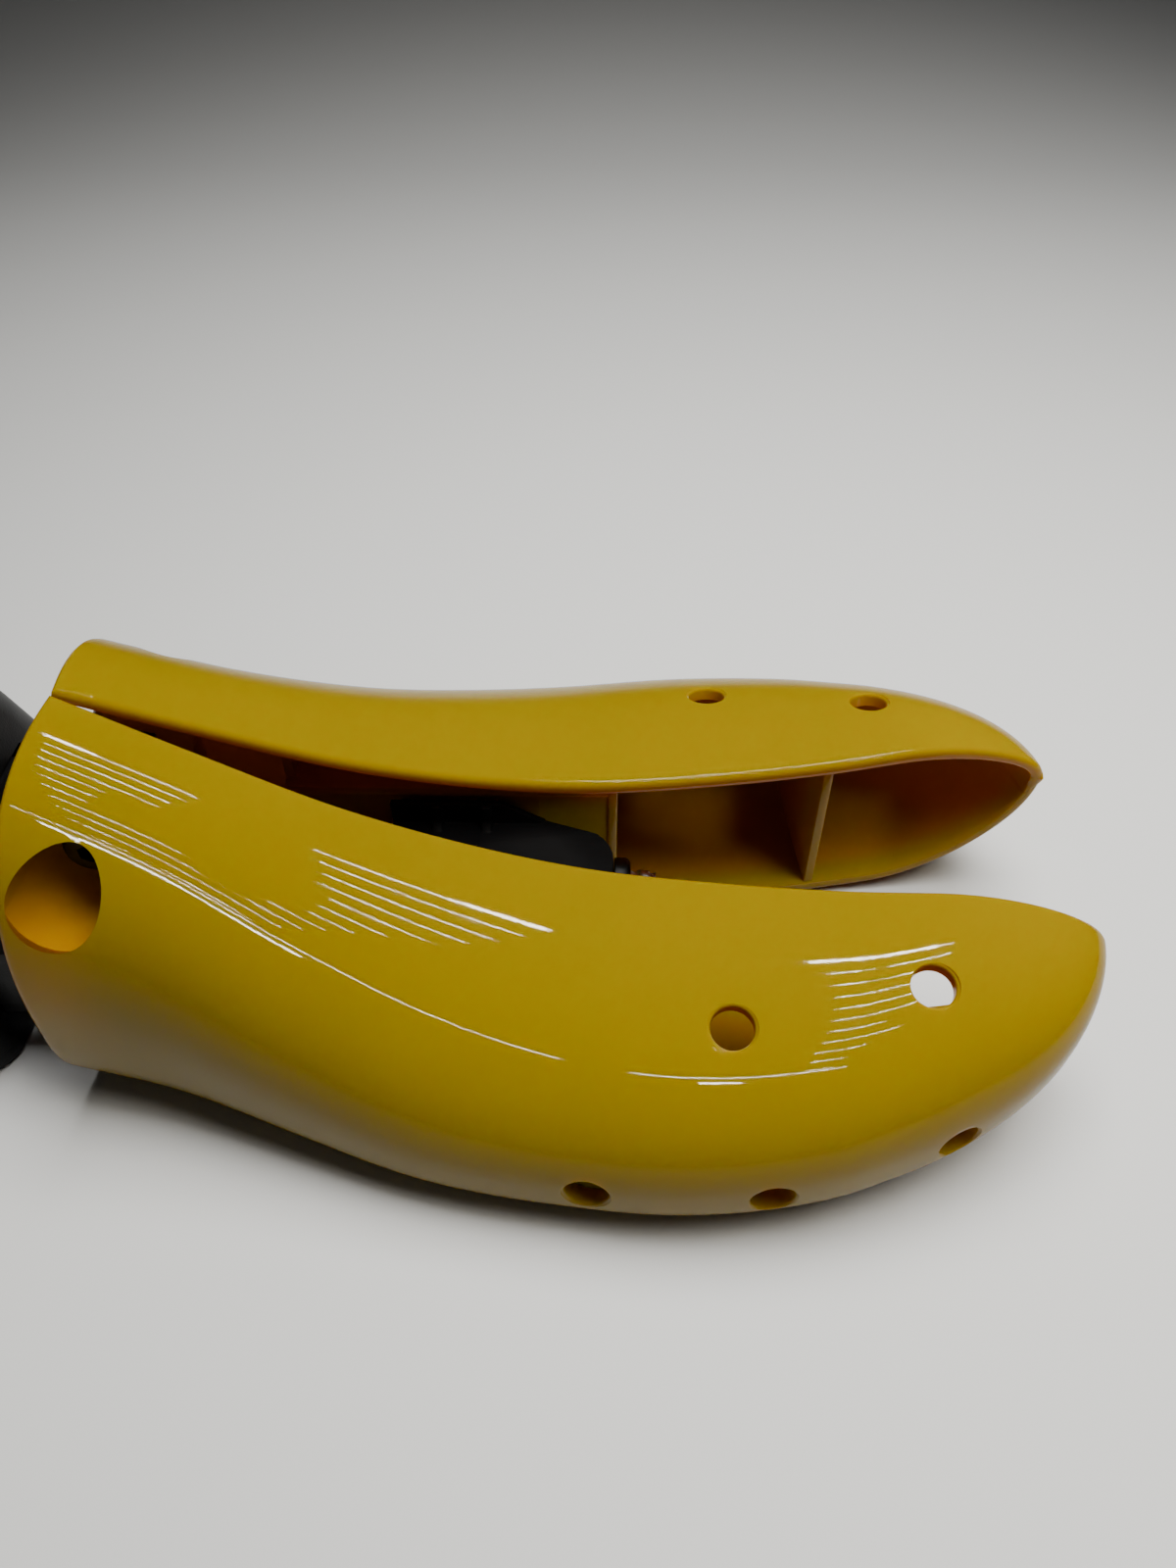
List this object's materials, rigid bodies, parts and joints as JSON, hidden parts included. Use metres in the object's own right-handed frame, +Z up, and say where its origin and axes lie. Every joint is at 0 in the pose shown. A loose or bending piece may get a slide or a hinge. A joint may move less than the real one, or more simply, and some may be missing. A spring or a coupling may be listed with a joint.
{
  "type": "shoe stretcher",
  "caption": "Two-way shoe stretcher: hollow front halves spread by a screw-driven wedge, sliding heel with release button, width knob and peg holes.",
  "frame": {"origin": "centre of the object's footprint, on the surface that it stands on", "axes": "+X lengthwise towards the toe, +Y to the far half as the picture shows it, +Z up"},
  "size_m": [0.23, 0.1078, 0.0604],
  "materials": {
    "yellow_abs": "polished",
    "black_abs": "satin",
    "black_nylon": "satin",
    "zinc_steel": "satin",
    "black_oxide_steel": "satin",
    "brass": "satin",
    "spring_steel": "satin"
  },
  "bodies": {
    "core": {"core_frame": "black_abs", "rack_bar": "black_nylon", "rack_screws": "zinc_steel", "near_hinge_pin": "zinc_steel", "far_hinge_pin": "zinc_steel", "cross_screw": "black_oxide_steel", "cross_nut": "black_oxide_steel", "cross_washers": "zinc_steel", "near_spring": "spring_steel", "far_spring": "spring_steel", "knob_washers": "zinc_steel"},
    "near_half": {"near_shell": "yellow_abs"},
    "far_half": {"far_shell": "yellow_abs"},
    "wedge": {"wedge_block": "black_nylon", "threaded_rod": "zinc_steel", "rod_nut": "black_oxide_steel", "rod_pin": "zinc_steel"},
    "knob": {"width_knob": "black_abs", "knob_insert": "brass"},
    "heel": {"heel_block": "black_abs", "heel_base": "black_abs", "heel_screws": "zinc_steel", "button_spring": "spring_steel"},
    "button": {"release_button": "black_nylon", "latch_frame": "black_nylon", "latch_pin": "zinc_steel"}
  },
  "joints": [
    {"name": "wedge_slide", "type": "slide", "parent": "core", "child": "wedge", "axis": [-1, 0, 0], "range_m": [0, 0.033]},
    {"name": "knob_turn", "type": "hinge", "parent": "core", "child": "knob", "pos_m": [-0.05573, 0, 0.018], "axis": [1, 0, 0], "range_deg": [0, 3960]},
    {"name": "near_hinge", "type": "hinge", "parent": "core", "child": "near_half", "pos_m": [-0.03798, -0.009, 0.021], "axis": [0, 0, 1], "range_deg": [0, 6.3]},
    {"name": "far_hinge", "type": "hinge", "parent": "core", "child": "far_half", "pos_m": [-0.03798, 0.009, 0.021], "axis": [0, 0, -1], "range_deg": [0, 6.3]},
    {"name": "heel_slide", "type": "slide", "parent": "core", "child": "heel", "axis": [-1, 0, 0], "range_m": [0, 0.032]},
    {"name": "button_press", "type": "slide", "parent": "heel", "child": "button", "axis": [0, 0, -1], "range_m": [0, 0.0025], "stiffness_N_per_m": 400, "springref_m": -0.002, "deforming": ["button_spring"]}
  ],
  "couplings": [
    {"joint": "knob_turn", "follows": "wedge_slide", "rad_per_m": 2094.4},
    {"joint": "near_hinge", "follows": "wedge_slide", "rad_per_m": 3.332},
    {"joint": "far_hinge", "follows": "wedge_slide", "rad_per_m": 3.332}
  ]
}
